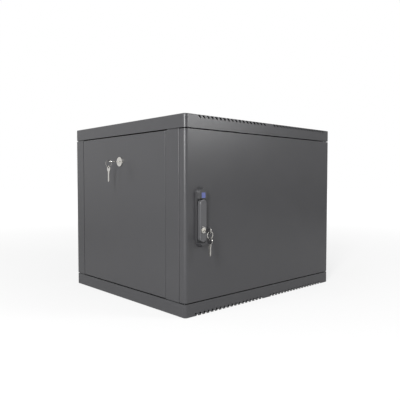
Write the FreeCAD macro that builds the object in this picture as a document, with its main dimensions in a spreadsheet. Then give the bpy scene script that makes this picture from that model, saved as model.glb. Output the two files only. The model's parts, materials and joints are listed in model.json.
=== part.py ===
import FreeCAD, Part
import math
import os
import re

import Sketcher
from FreeCAD import Placement, Rotation, Vector

# Nine-unit wall mount network cabinet. Millimetres, +Z up, front towards -Y.
# Origin: middle of the footprint, on the underside of the bottom cover.

DRIVING_SIZES = {
    # whole cabinet
    "cab_width": 600.0,
    "cab_depth": 520.0,
    "rack_units": 9,
    "unit_height": 44.45,
    "rail_start": 40.0,
    "shadow_gap": 2.5,
    "fit_gap": 0.3,
    "run_clearance": 0.05,
    "bolt_clearance": 0.2,
    # pressed top and bottom covers
    "cover_height": 32.5,
    "cover_sheet": 1.2,
    "cover_flange": 35.0,
    "front_corner": 9.0,
    "rear_corner": 3.0,
    "bend_radius": 2.5,
    "slot_width": 4.0,
    "slot_slant": 1.2,
    "slot_pitch": 14.0,
    "slots_per_group": 18,
    "slot_middle_gap": 42.0,
    "slot_skirt_reach": 6.3,
    "slot_floor_reach": 6.0,
    "cable_cut_width": 240.0,
    "cable_cut_depth": 60.0,
    "cable_cut_margin": 50.0,
    "plate_overlap": 12.0,
    "plate_sheet": 1.2,
    # folded corner posts
    "frame_sheet": 1.5,
    "post_face": 35.0,
    "front_post_side": 50.0,
    "rear_post_side": 42.0,
    "panel_seat": 11.0,
    "seat_lip": 14.0,
    "foot_inset": 3.0,
    "foot_plate": 2.0,
    # rear panel and wall fixing
    "rear_overlap": 14.0,
    "wall_hole_width": 450.0,
    "wall_hole_height": 300.0,
    "wall_hole_radius": 5.0,
    "rear_cable_width": 200.0,
    "rear_cable_height": 50.0,
    "rear_cable_start": 62.0,
    # lift-off side panels
    "panel_sheet": 1.2,
    "panel_gap": 1.5,
    "tongue_width": 30.0,
    "tongue_reach": 6.0,
    "tongue_margin": 60.0,
    # depth brackets and rack rails
    "bracket_sheet": 1.5,
    "bracket_web": 36.0,
    "bracket_shelf": 50.0,
    "rail_sheet": 2.0,
    "rail_opening": 450.0,
    "rail_face": 43.0,
    "rail_leg": 35.0,
    "rail_tail": 16.0,
    "rail_tab": 2.0,
    "rail_hole": 9.5,
    "rail_hole_width": 465.1,
    "rail_hole_first": 6.35,
    "rail_hole_step": 15.875,
    "front_rail_depth": 75.0,
    "rear_rail_depth": 410.0,
    "adjust_travel": 50.0,
    # door pan and hinges
    "door_depth": 20.0,
    "door_gap": 2.5,
    "door_sheet": 1.2,
    "door_edge": 1.2,
    "stiffener_width": 30.0,
    "stiffener_depth": 12.0,
    "stiffener_margin": 15.0,
    "stiffener_place": 100.0,
    "pin_side": 6.0,
    "pin_front": 10.5,
    "pin_radius": 2.5,
    "pin_head": 3.0,
    "pin_collar": 2.0,
    "bush_wall": 1.45,
    "bush_length": 15.0,
    # swing handle
    "handle_side": 47.0,
    "handle_bottom": 165.0,
    "handle_length": 144.5,
    "handle_width": 30.0,
    "handle_proud": 13.0,
    "handle_base": 4.0,
    "handle_slope": 15.9,
    "spindle_drop": 40.5,
    "spindle_radius": 4.0,
    "spigot_radius": 8.0,
    "lever_width": 21.0,
    "lever_reach": 91.0,
    "head_gap": 2.0,
    "lift_pin_rise": 6.0,
    "lift_pin_radius": 1.5,
    "lift_pin_wall": 1.1,
    "dish_depth": 1.8,
    "hub_height": 1.0,
    "fork_width": 10.0,
    "hub_radius": 8.0,
    "lift_pin_reach": 7.1,
    "lever_round": 2.0,
    "nut_height": 4.0,
    "handle_lock_drop": 62.5,
    "handle_lock_radius": 7.5,
    "lock_proud": 1.0,
    "lock_tail": 1.5,
    "label_width": 12.0,
    "label_height": 13.0,
    "label_depth": 0.8,
    "label_corner": 1.2,
    "cam_sheet": 2.5,
    "cam_seat": 5.4,
    "cam_width": 16.0,
    "cam_reach": 28.0,
    "cam_clearance": 1.5,
    "cam_screw_length": 8.0,
    # side panel locks
    "side_lock_depth": 272.8,
    "side_lock_height": 375.3,
    "side_lock_flange": 13.0,
    "side_lock_barrel": 9.5,
    "side_lock_proud": 3.0,
    "side_lock_length": 15.5,
    "side_cam_reach": 40.0,
    "plug_radius": 5.0,
    # keys
    "key_sheet": 2.0,
    "key_bow": 8.0,
    "key_eye": 3.0,
    "key_eye_offset": 3.8,
    "key_blade": 7.5,
    "key_length": 28.0,
    "handle_key_length": 16.5,
    "key_neck": 5.0,
    "key_shoulder": 1.1,
    "key_point": 3.0,
    "key_slot_clearance": 0.15,
    "key_blade_depth": 14.0,
    "handle_key_insert": 7.5,
    "side_key_insert": 13.0,
    "ring_radius": 8.6,
    "ring_wire": 0.9,
    "ring_shift": 0.45,
    # screws
    "screw_radius": 2.9,
    "screw_head": 5.0,
    "screw_head_height": 3.4,
    "small_screw_radius": 1.9,
    "small_screw_head": 3.6,
    "small_screw_head_height": 2.2,
}

# Derived heights and planes, written as expressions of the driving sizes.
TOP = "(2 * rail_start + rack_units * unit_height)"
FRONT = "(-cab_depth / 2)"
REAR = "(cab_depth / 2)"
FRAME_LOW = "(cover_height + shadow_gap)"
FRAME_HIGH = f"({TOP} - cover_height - shadow_gap)"
FRAME_FRONT = f"({FRONT} + door_depth + door_gap)"
HALF_WIDTH = "(cab_width / 2)"
SEAT = f"({HALF_WIDTH} - panel_seat)"
LIP_INSIDE = f"({SEAT} - frame_sheet)"
SIDES = {"left": -1, "right": 1}

document = FreeCAD.newDocument("wall_cabinet")
sheet = document.addObject("Spreadsheet::Sheet", "sizes")
for row, (alias, size) in enumerate(DRIVING_SIZES.items(), 1):
    sheet.set(f"A{row}", alias)
    sheet.set(f"B{row}", str(size))
    sheet.setAlias(f"B{row}", alias)
document.recompute()

nodes = []


# ---------------------------------------------------------------- helpers

def bind(text):
    """Turn plain size names in an expression into references to the sheet."""
    pattern = r"[a-z][a-z_]*[a-z]"
    return re.sub(pattern, lambda m: "sizes." + m.group() if m.group() in DRIVING_SIZES else m.group(), str(text))


def value(text):
    """The number that an expression of the driving sizes gives now."""
    return float(sheet.evalExpression(bind(text)))


def keep(part, label):
    """Name a finished sub-part and put it on the list of exported nodes."""
    part.Label = label
    nodes.append(part)
    return part


def mirrored(sign, *texts):
    """Distances from the middle plane as X expressions on one side."""
    return [f"({sign}) * ({text})" for text in texts]


def span(sign, near, far):
    """A low and a high X expression for a stretch on one side."""
    low, high = sorted((f"({sign}) * ({near})", f"({sign}) * ({far})"), key=value)
    return low, high


def arc_to(x, y, centre_x, centre_y, anticlockwise):
    """An outline corner that is reached along an arc about a centre."""
    return {"x": x, "y": y, "centre": (centre_x, centre_y), "anticlockwise": anticlockwise}


def rounded(x, y, radius):
    """A right-angled outline corner with a radius."""
    return {"x": x, "y": y, "radius": radius}


def unfold(corners):
    """List the vertices of an outline, each with the arc that leads to it or None."""
    plain = [c if isinstance(c, dict) else {"x": c[0], "y": c[1]} for c in corners]
    vertices = []
    for index, corner in enumerate(plain):
        x, y = corner["x"], corner["y"]
        if "radius" not in corner:
            arc = (corner["centre"], corner["anticlockwise"]) if "centre" in corner else None
            vertices.append((x, y, arc))
            continue
        before, after = plain[index - 1], plain[(index + 1) % len(plain)]
        ends = []
        turn = []
        for other in (before, after):
            step_x, step_y = value(other["x"]) - value(x), value(other["y"]) - value(y)
            along_x = abs(step_x) > abs(step_y)
            sign = math.copysign(1, step_x if along_x else step_y)
            shift = f"{sign:+.0f} * ({corner['radius']})"
            ends.append((f"({x}) {shift}", y) if along_x else (x, f"({y}) {shift}"))
            turn.append((step_x, step_y))
        centre = (f"({ends[0][0]}) + ({ends[1][0]}) - ({x})", f"({ends[0][1]}) + ({ends[1][1]}) - ({y})")
        anticlockwise = turn[1][0] * turn[0][1] - turn[1][1] * turn[0][0] > 0
        vertices.append((ends[0][0], ends[0][1], None))
        vertices.append((ends[1][0], ends[1][1], (centre, anticlockwise)))
    return vertices


def pin_point(sketch, geometry, position, x, y):
    """Fix a point of a sketch to two expressions."""
    for kind, text in (("DistanceX", x), ("DistanceY", y)):
        index = sketch.addConstraint(Sketcher.Constraint(kind, geometry, position, value(text)))
        sketch.setExpression(f"Constraints[{index}]", bind(text))


def add_outline(sketch, corners):
    """Draw one closed outline whose every vertex follows the sheet."""
    vertices = unfold(corners)
    places = [Vector(value(x), value(y), 0) for x, y, _ in vertices]
    pieces = []
    for index, (_, _, arc) in enumerate(vertices):
        start, end = places[index - 1], places[index]
        if arc is None:
            pieces.append((sketch.addGeometry(Part.LineSegment(start, end), False), 1, 2))
            continue
        centre = Vector(value(arc[0][0]), value(arc[0][1]), 0)
        low, high = (start, end) if arc[1] else (end, start)
        angles = [math.atan2(p.y - centre.y, p.x - centre.x) for p in (low, high)]
        if angles[1] <= angles[0]:
            angles[1] += 2 * math.pi
        circle = Part.Circle(centre, Vector(0, 0, 1), (start - centre).Length)
        geometry = sketch.addGeometry(Part.ArcOfCircle(circle, *angles), False)
        pieces.append((geometry, 1, 2) if arc[1] else (geometry, 2, 1))
        across = end - start
        kind, text = ("DistanceX", arc[0][0]) if abs(across.y) > abs(across.x) else ("DistanceY", arc[0][1])
        fixed = sketch.addConstraint(Sketcher.Constraint(kind, geometry, 3, value(text)))
        sketch.setExpression(f"Constraints[{fixed}]", bind(text))
    for index, (geometry, _, last) in enumerate(pieces):
        following, first, _ = pieces[(index + 1) % len(pieces)]
        sketch.addConstraint(Sketcher.Constraint("Coincident", geometry, last, following, first))
        pin_point(sketch, following, first, vertices[index][0], vertices[index][1])


def add_circle(sketch, x, y, radius):
    """Draw one circle whose centre and radius follow the sheet."""
    circle = Part.Circle(Vector(value(x), value(y), 0), Vector(0, 0, 1), value(radius))
    geometry = sketch.addGeometry(circle, False)
    pin_point(sketch, geometry, 3, x, y)
    index = sketch.addConstraint(Sketcher.Constraint("Radius", geometry, value(radius)))
    sketch.setExpression(f"Constraints[{index}]", bind(radius))


def rectangle(x_low, x_high, y_low, y_high):
    """Corners of an upright rectangle."""
    return [(x_low, y_low), (x_high, y_low), (x_high, y_high), (x_low, y_high)]


def circle(x, y, radius):
    """A circle for a sketch, told from an outline by its type."""
    return (x, y, radius)


def upright_stadium(x, y_low, y_high, radius):
    """A slot or plate with round ends at its lower and upper centres."""
    left, right = f"({x}) - ({radius})", f"({x}) + ({radius})"
    return [(left, y_low), arc_to(right, y_low, x, y_low, True), (right, y_high), arc_to(left, y_high, x, y_high, True)]


def origin_plane(body, role):
    return next(item for item in body.Origin.OriginFeatures if item.Role == role)


def sketch_on(body, plane, level, shapes):
    """A sketch on an origin plane, moved along that plane's normal."""
    sketch = body.newObject("Sketcher::SketchObject", "profile")
    sketch.AttachmentSupport = [(origin_plane(body, plane + "_Plane"), "")]
    sketch.MapMode = "FlatFace"
    sketch.setExpression("AttachmentOffset.Base.z", bind(level))
    for shape in shapes:
        if isinstance(shape, tuple):
            add_circle(sketch, *shape)
        else:
            add_outline(sketch, shape)
    return sketch


def pad(body, plane, shapes, start, end, taper=None):
    """Extrude outlines between two coordinates; a taper narrows them along the plane's normal."""
    level = f"-({end})" if plane == "XZ" else start
    feature = body.newObject("PartDesign::Pad", "pad")
    feature.Profile = sketch_on(body, plane, level, shapes)
    feature.setExpression("Length", bind(f"({end}) - ({start})"))
    if taper is not None:
        feature.setExpression("TaperAngle", bind(f"-({taper})"))
    body.Tip = feature
    return feature


def cut(body, plane, shapes, start, end):
    """Remove outlines between two coordinates along the plane's normal."""
    level = f"-({start})" if plane == "XZ" else end
    feature = body.newObject("PartDesign::Pocket", "cut")
    feature.Profile = sketch_on(body, plane, level, shapes)
    feature.setExpression("Length", bind(f"({end}) - ({start})"))
    body.Tip = feature
    return feature


def repeat(body, features, direction, count, step):
    """Pattern features along a sketch axis."""
    pattern = body.newObject("PartDesign::LinearPattern", "pattern")
    pattern.Originals = features
    pattern.Direction = (features[0].Profile[0], [direction])
    pattern.Mode = "Spacing"
    pattern.setExpression("Offset", bind(step))
    pattern.setExpression("Occurrences", bind(count))
    body.Tip = pattern
    return pattern


def round_edges(body, radius, chosen):
    """Fillet the edges of the body that a test picks."""
    document.recompute()
    base = body.Tip
    names = [f"Edge{number}" for number, edge in enumerate(base.Shape.Edges, 1) if chosen(edge)]
    feature = body.newObject("PartDesign::Fillet", "rounding")
    feature.Base = (base, names)
    feature.setExpression("Radius", bind(radius))
    body.Tip = feature
    return feature


def new_body(label):
    return keep(document.addObject("PartDesign::Body", label), label)


def move(part, x="0", y="0", z="0"):
    """Place a part by expressions, keeping its rotation."""
    for axis, text in zip("xyz", (x, y, z)):
        part.setExpression("Placement.Base." + axis, bind(text))


def hex_screw(at, turn, shank, length, head, head_height):
    """A hexagon-head screw: its shank runs along local +Z from the underside of the head."""
    cap = document.addObject("Part::Prism", "head")
    cap.Polygon = 6
    cap.setExpression("Circumradius", bind(head))
    cap.setExpression("Height", bind(head_height))
    cap.setExpression("Placement.Base.z", bind(f"-({head_height})"))
    stem = document.addObject("Part::Cylinder", "shank")
    stem.setExpression("Radius", bind(shank))
    stem.setExpression("Height", bind(length))
    screw = document.addObject("Part::Fuse", "screw")
    screw.Base = cap
    screw.Tool = stem
    screw.Placement = Placement(Vector(), turn)
    move(screw, *at)
    return screw


def solid_group(label, solids):
    """Like solids that share one node."""
    group = document.addObject("Part::Compound", label)
    group.Links = solids
    return keep(group, label)


UP = Rotation()
DOWN = Rotation(Vector(1, 0, 0), 180)
TO_REAR = Rotation(Vector(1, 0, 0), -90)
TO_FRONT = Rotation(Vector(1, 0, 0), 90)
TO_RIGHT = Rotation(Vector(0, 1, 0), 90)
TO_LEFT = Rotation(Vector(0, 1, 0), -90)


# ------------------------------------------------- covers, posts and panels

def make_cover(label):
    """A pressed tray with a returned flange, vent slots over its front bend and a cable cut-out."""
    body = new_body(label)
    outer = [rounded(f"-{HALF_WIDTH}", FRONT, "front_corner"), rounded(HALF_WIDTH, FRONT, "front_corner"),
             rounded(HALF_WIDTH, REAR, "rear_corner"), rounded(f"-{HALF_WIDTH}", REAR, "rear_corner")]
    pad(body, "XY", [outer], "0", "cover_height")
    round_edges(body, "bend_radius", lambda edge: edge.BoundBox.ZMax < 0.001)
    wide, front, rear = f"({HALF_WIDTH} - cover_sheet)", f"({FRONT} + cover_sheet)", f"({REAR} - cover_sheet)"
    inner = [rounded(f"-{wide}", front, "(front_corner - cover_sheet)"),
             rounded(wide, front, "(front_corner - cover_sheet)"),
             rounded(wide, rear, "(rear_corner - cover_sheet)"),
             rounded(f"-{wide}", rear, "(rear_corner - cover_sheet)")]
    cut(body, "XY", [inner], "cover_sheet", "cover_height - cover_sheet")
    window = rectangle(f"-({HALF_WIDTH} - cover_flange)", f"{HALF_WIDTH} - cover_flange",
                       f"{FRONT} + cover_flange", f"{REAR} - cover_flange")
    cut(body, "XY", [window], "cover_height - 2 * cover_sheet", "cover_height")
    group_length = "(slots_per_group - 1) * slot_pitch"
    for first_slot in (f"(-slot_middle_gap / 2 - {group_length})", "(slot_middle_gap / 2)"):
        cut_slot_group(body, first_slot)
    rear_edge = f"({REAR} - cable_cut_margin)"
    opening = rectangle("-cable_cut_width / 2", "cable_cut_width / 2", f"{rear_edge} - cable_cut_depth", rear_edge)
    holes = [circle(x, y, "small_screw_radius + bolt_clearance") for x, y in cable_plate_places()]
    cut(body, "XY", [opening] + holes, "0", "cover_sheet")
    flange_holes = []
    for sign in SIDES.values():
        flange_holes += [circle(*mirrored(sign, foot_x()), y, "screw_radius + bolt_clearance")
                         for y in (foot_y("front"), foot_y("rear"))]
        flange_holes.append(circle(*mirrored(sign, f"{HALF_WIDTH} - pin_side"), f"{FRONT} + pin_front",
                                   "pin_radius + run_clearance"))
    cut(body, "XY", flange_holes, "cover_height - cover_sheet", "cover_height")
    return body


def cut_slot_group(body, place):
    """A row of slanted slots that wrap the front bend, each straight on the unfolded sheet."""
    slope = "sqrt(1 + pow(slot_slant; 2))"
    mouth = f"slot_width / 2 * {slope}"
    across = f"slot_width / 2 / {slope}"
    along = f"slot_slant * {across}"
    drift = "slot_slant * slot_skirt_reach"
    skirt = [(f"{place} + {mouth}", "0"),
             (f"{place} - {drift} + {across}", f"slot_skirt_reach + {along}"),
             arc_to(f"{place} - {drift} - {across}", f"slot_skirt_reach - {along}",
                    f"{place} - {drift}", "slot_skirt_reach", True),
             (f"{place} - {mouth}", "0")]
    drift = "slot_slant * slot_floor_reach"
    floor_start = f"{FRONT} + bend_radius"
    floor_end = f"{floor_start} + slot_floor_reach"
    floor = [(f"{place} + {mouth}", floor_start),
             (f"{place} + {drift} + {across}", f"{floor_end} - {along}"),
             arc_to(f"{place} + {drift} - {across}", f"{floor_end} + {along}",
                    f"{place} + {drift}", floor_end, True),
             (f"{place} - {mouth}", floor_start)]
    slot = [cut(body, "XZ", [skirt], FRONT, f"{FRONT} + bend_radius"), cut(body, "XY", [floor], "0", "bend_radius")]
    repeat(body, slot, "H_Axis", "slots_per_group", "slot_pitch")


def cable_plate_places():
    """Screw places of a cable entry plate, seen from above."""
    reach = "(cable_cut_width / 2 + plate_overlap / 2)"
    near = f"({REAR} - cable_cut_margin - cable_cut_depth - plate_overlap / 2)"
    far = f"({REAR} - cable_cut_margin + plate_overlap / 2)"
    return [(x, y) for x in (f"-{reach}", reach) for y in (near, far)]


def make_cable_plate(label):
    """The blanking plate that closes a cable cut-out from inside the tray."""
    body = new_body(label)
    reach = "(cable_cut_width / 2 + plate_overlap)"
    near = f"({REAR} - cable_cut_margin - cable_cut_depth - plate_overlap)"
    far = f"({REAR} - cable_cut_margin + plate_overlap)"
    corners = [rounded(x, y, "rear_corner") for x, y in rectangle(f"-{reach}", reach, near, far)]
    pad(body, "XY", [corners], "cover_sheet", "cover_sheet + plate_sheet")
    holes = [circle(x, y, "small_screw_radius + bolt_clearance") for x, y in cable_plate_places()]
    cut(body, "XY", holes, "cover_sheet", "cover_sheet + plate_sheet")
    return body


def turn_over(part):
    """Use a bottom part at the top: half a turn about the front-to-rear axis."""
    part.Placement = Placement(Vector(), Rotation(Vector(0, 1, 0), 180))
    move(part, z=TOP)


def foot_x():
    return f"({HALF_WIDTH} - post_face / 2)"


def foot_y(end):
    if end == "front":
        return f"({FRAME_FRONT} + front_post_side / 2)"
    return f"({REAR} - rear_post_side / 2)"


def seat_screw_y(end):
    """Depth of the screw that ties a depth bracket to a post's seat lip."""
    if end == "front":
        return f"({FRAME_FRONT} + front_post_side + seat_lip / 2 + 1)"
    return f"({REAR} - rear_post_side - seat_lip / 2 - 1)"


def bracket_screw_z(level):
    low = "(rail_start + bracket_web / 2)"
    return low if level == "lower" else f"({TOP} - {low})"


def make_post(label, sign, end):
    """A folded post: face, side, a joggle that the side panel closes on, and a welded foot at each end."""
    body = new_body(label)
    face = FRAME_FRONT if end == "front" else REAR
    inward = "" if end == "front" else "-"
    depth = "front_post_side" if end == "front" else "rear_post_side"

    def at(distance):
        return f"({face} + {inward}({distance}))" if inward == "" else f"({face} - ({distance}))"

    edge = f"{HALF_WIDTH} - post_face"
    outline = [(edge, face), rounded(HALF_WIDTH, face, "bend_radius"), (HALF_WIDTH, at(depth)),
               (SEAT, at(depth)), (SEAT, at(f"{depth} + seat_lip")), (LIP_INSIDE, at(f"{depth} + seat_lip")),
               (LIP_INSIDE, at(f"{depth} - frame_sheet")),
               (f"{HALF_WIDTH} - frame_sheet", at(f"{depth} - frame_sheet")),
               rounded(f"{HALF_WIDTH} - frame_sheet", at("frame_sheet"), "(bend_radius - frame_sheet)"),
               (edge, at("frame_sheet"))]
    turned = []
    for corner in outline:
        if isinstance(corner, dict):
            turned.append(rounded(*mirrored(sign, corner["x"]), corner["y"], corner["radius"]))
        else:
            turned.append((*mirrored(sign, corner[0]), corner[1]))
    pad(body, "XY", [turned], FRAME_LOW, FRAME_HIGH)
    x_low, x_high = span(sign, edge, f"{HALF_WIDTH} - frame_sheet")
    y_low, y_high = sorted((at("frame_sheet"), at(f"{depth} - frame_sheet")), key=value)
    plate = rectangle(x_low, x_high, y_low, y_high)
    pad_low, pad_high = span(sign, f"{edge} + foot_inset", f"{HALF_WIDTH} - foot_inset")
    front_low, front_high = sorted((at("foot_inset"), at(f"{depth} - foot_inset")), key=value)
    spacer = rectangle(pad_low, pad_high, front_low, front_high)
    for low, high, shape in (
            (FRAME_LOW, f"{FRAME_LOW} + foot_plate", plate),
            (f"{FRAME_HIGH} - foot_plate", FRAME_HIGH, plate),
            ("cover_height", FRAME_LOW, spacer),
            (FRAME_HIGH, f"{TOP} - cover_height", spacer)):
        pad(body, "XY", [shape], low, high)
    screw = circle(*mirrored(sign, foot_x()), foot_y(end), "screw_radius + bolt_clearance")
    cut(body, "XY", [screw], "cover_height", f"{FRAME_LOW} + foot_plate")
    cut(body, "XY", [screw], f"{FRAME_HIGH} - foot_plate", f"{TOP} - cover_height")
    lip_low, lip_high = span(sign, LIP_INSIDE, SEAT)
    seat_holes = [circle(seat_screw_y(end), bracket_screw_z(level), "screw_radius + bolt_clearance")
                  for level in ("lower", "upper")]
    cut(body, "YZ", seat_holes, lip_low, lip_high)
    if end == "rear":
        holes = [circle(*mirrored(sign, rear_screw_x()), z, "small_screw_radius + bolt_clearance")
                 for z in rear_screw_heights()]
        cut(body, "XZ", holes, f"{REAR} - frame_sheet", REAR)
    return body


def rear_screw_x():
    return f"({HALF_WIDTH} - post_face + rear_overlap / 2)"


def rear_screw_heights():
    low = f"({FRAME_LOW} + 35)"
    return [low, f"({TOP} / 2)", f"({TOP} - {low})"]


def wall_holes():
    """Centres of the four wall fixing holes."""
    return [(f"{x} * wall_hole_width / 2", f"({TOP} / 2) + {z} * wall_hole_height / 2")
            for x in (-1, 1) for z in (-1, 1)]


def make_rear_panel():
    """The flat rear panel, with four wall fixing holes and an open cable entry."""
    body = new_body("rear_panel")
    reach = f"({HALF_WIDTH} - post_face + rear_overlap)"
    far = f"({REAR} - frame_sheet)"
    near = f"({far} - frame_sheet)"
    low, high = f"({FRAME_LOW} + foot_plate + fit_gap)", f"({FRAME_HIGH} - foot_plate - fit_gap)"
    pad(body, "XZ", [rectangle(f"-{reach}", reach, low, high)], near, far)
    width = (f"-({HALF_WIDTH} - post_face)", f"{HALF_WIDTH} - post_face")
    top_edge = rectangle(*width, f"{high} - frame_sheet", high)
    low_edge = rectangle(*width, low, f"{low} + frame_sheet")
    pad(body, "XZ", [top_edge, low_edge], f"{near} - seat_lip", near)
    cable = [rounded(x, z, "front_corner") for x, z in rectangle(
        "-rear_cable_width / 2", "rear_cable_width / 2", "rear_cable_start", "rear_cable_start + rear_cable_height")]
    holes = [circle(x, z, "wall_hole_radius") for x, z in wall_holes()]
    for sign in SIDES.values():
        holes += [circle(*mirrored(sign, rear_screw_x()), z, "small_screw_radius + bolt_clearance")
                  for z in rear_screw_heights()]
    cut(body, "XZ", [cable] + holes, near, far)
    return body


PANEL_FRONT = f"({FRAME_FRONT} + front_post_side + panel_gap)"
PANEL_REAR = f"({REAR} - rear_post_side - panel_gap)"
PANEL_LOW = f"({FRAME_LOW} + fit_gap)"
PANEL_HIGH = f"({FRAME_HIGH} - fit_gap)"
SIDE_LOCK_Y = f"({FRONT} + side_lock_depth)"


def make_side_panel(label, sign):
    """A lift-off side panel: a shallow pan with two locating tongues and a lock hole."""
    body = new_body(label)
    flange = f"({SEAT} + fit_gap)"
    low, high = span(sign, flange, HALF_WIDTH)
    pad(body, "YZ", [rectangle(PANEL_FRONT, PANEL_REAR, PANEL_LOW, PANEL_HIGH)], low, high)
    outside = value(f"{sign} * {HALF_WIDTH}")
    round_edges(body, "panel_sheet", lambda edge: abs(edge.BoundBox.XMin - outside) < 0.001
                and abs(edge.BoundBox.XMax - outside) < 0.001)
    hollow = rectangle(f"{PANEL_FRONT} + panel_sheet", f"{PANEL_REAR} - panel_sheet",
                       f"{PANEL_LOW} + panel_sheet", f"{PANEL_HIGH} - panel_sheet")
    low, high = span(sign, flange, f"{HALF_WIDTH} - panel_sheet")
    cut(body, "YZ", [hollow], low, high)
    tongue_low, tongue_high = span(sign, f"{flange} - tongue_reach", flange)
    tongues = []
    for start in (f"{PANEL_FRONT} + tongue_margin", f"{PANEL_REAR} - tongue_margin - tongue_width"):
        tongues.append(rectangle(start, f"{start} + tongue_width", PANEL_LOW, f"{PANEL_LOW} + panel_sheet"))
    pad(body, "YZ", tongues, tongue_low, tongue_high)
    low, high = span(sign, f"{HALF_WIDTH} - panel_sheet", HALF_WIDTH)
    cut(body, "YZ", [circle(SIDE_LOCK_Y, "side_lock_height", "side_lock_barrel + bolt_clearance")], low, high)
    return body


# ------------------------------------------------ depth brackets and rails

BRACKET_OUT = LIP_INSIDE
BRACKET_IN = f"({LIP_INSIDE} - bracket_sheet)"
FRONT_RAIL_FACE = f"({FRONT} + front_rail_depth)"
REAR_RAIL_FACE = f"({FRONT} + rear_rail_depth)"


def make_bracket(label, sign, level):
    """An angle between two posts; its slotted shelf carries one end of each rail on that side."""
    body = new_body(label)
    shelf_high, shelf_low, web_end = "rail_start", "(rail_start - bracket_sheet)", "(rail_start + bracket_web)"
    if level == "upper":
        shelf_low, shelf_high = f"({TOP} - {shelf_high})", f"({TOP} - {shelf_low})"
        web_end = f"({TOP} - {web_end})"
    front, rear = f"{FRAME_FRONT} + front_post_side", f"{REAR} - rear_post_side"
    web_low, web_high = sorted((web_end, shelf_high if level == "lower" else shelf_low), key=value)
    low, high = span(sign, f"{BRACKET_OUT} - bracket_shelf", BRACKET_OUT)
    pad(body, "XY", [rectangle(low, high, front, rear)], shelf_low, shelf_high)
    low, high = span(sign, BRACKET_IN, BRACKET_OUT)
    pad(body, "XY", [rectangle(low, high, front, rear)], web_low, web_high)
    slots = []
    for y in (rail_screw_y("front"), rail_screw_y("rear")):
        slots.append(upright_stadium(*mirrored(sign, rail_screw_x()), f"{y} - adjust_travel / 2 + bend_radius",
                                     f"{y} + adjust_travel / 2", "screw_radius + bolt_clearance"))
    cut(body, "XY", slots, shelf_low, shelf_high)
    holes = [circle(seat_screw_y(end), bracket_screw_z(level), "screw_radius + bolt_clearance")
             for end in ("front", "rear")]
    cut(body, "YZ", holes, low, high)
    return body


def rail_screw_x():
    return "(rail_opening / 2 + rail_face * 0.65)"


def rail_screw_y(end):
    if end == "front":
        return f"({FRONT_RAIL_FACE} + rail_leg / 2)"
    return f"({REAR_RAIL_FACE} - rail_leg / 2)"


def make_rail(label, sign, end):
    """A rack rail: a face with square holes at the rack pitch, a leg, a tail and a tab at each end."""
    body = new_body(label)

    def at(distance):
        return f"({FRONT_RAIL_FACE} + {distance})" if end == "front" else f"({REAR_RAIL_FACE} - ({distance}))"

    inner, outer = "rail_opening / 2", "(rail_opening / 2 + rail_face)"
    profile = [(inner, at("0")), (outer, at("0")), (outer, at("rail_leg - rail_sheet")),
               (f"{outer} + rail_tail", at("rail_leg - rail_sheet")), (f"{outer} + rail_tail", at("rail_leg")),
               (f"{outer} - rail_sheet", at("rail_leg")), (f"{outer} - rail_sheet", at("rail_sheet")),
               (inner, at("rail_sheet"))]
    profile = [(*mirrored(sign, x), y) for x, y in profile]
    pad(body, "XY", [profile], "rail_start", f"{TOP} - rail_start")
    low, high = span(sign, f"{inner} + rail_hole + 6", f"{outer} - rail_sheet")
    near, far = sorted((at("rail_sheet"), at("rail_leg")), key=value)
    screw = circle(*mirrored(sign, rail_screw_x()), rail_screw_y(end), "screw_radius + bolt_clearance")
    for bottom, top in (("rail_start", "rail_start + rail_tab"), (f"{TOP} - rail_start - rail_tab", f"{TOP} - rail_start")):
        pad(body, "XY", [rectangle(low, high, near, far)], bottom, top)
        cut(body, "XY", [screw], bottom, top)
    holes = []
    middle = mirrored(sign, "rail_hole_width / 2")[0]
    for step in range(3):
        z = f"(rail_start + rail_hole_first + {step} * rail_hole_step)"
        holes.append(rectangle(f"{middle} - rail_hole / 2", f"{middle} + rail_hole / 2",
                               f"{z} - rail_hole / 2", f"{z} + rail_hole / 2"))
    near, far = sorted((at("0"), at("rail_sheet")), key=value)
    unit = cut(body, "XZ", holes, near, far)
    repeat(body, [unit], "V_Axis", "rack_units", "unit_height")
    return body


# ------------------------------------------------------ door and its hinges

DOOR_BACK = f"({FRONT} + door_depth)"
DOOR_INSIDE = f"({FRONT} + door_sheet)"
PIN_X = f"({HALF_WIDTH} - pin_side)"
PIN_Y = f"({FRONT} + pin_front)"
BUSH_RADIUS = "(pin_radius + run_clearance + bush_wall)"
HANDLE_X = f"(-{HALF_WIDTH} + handle_side)"
HANDLE_TOP = "(handle_bottom + handle_length)"
SPINDLE_Z = f"({HANDLE_TOP} - spindle_drop)"


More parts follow.
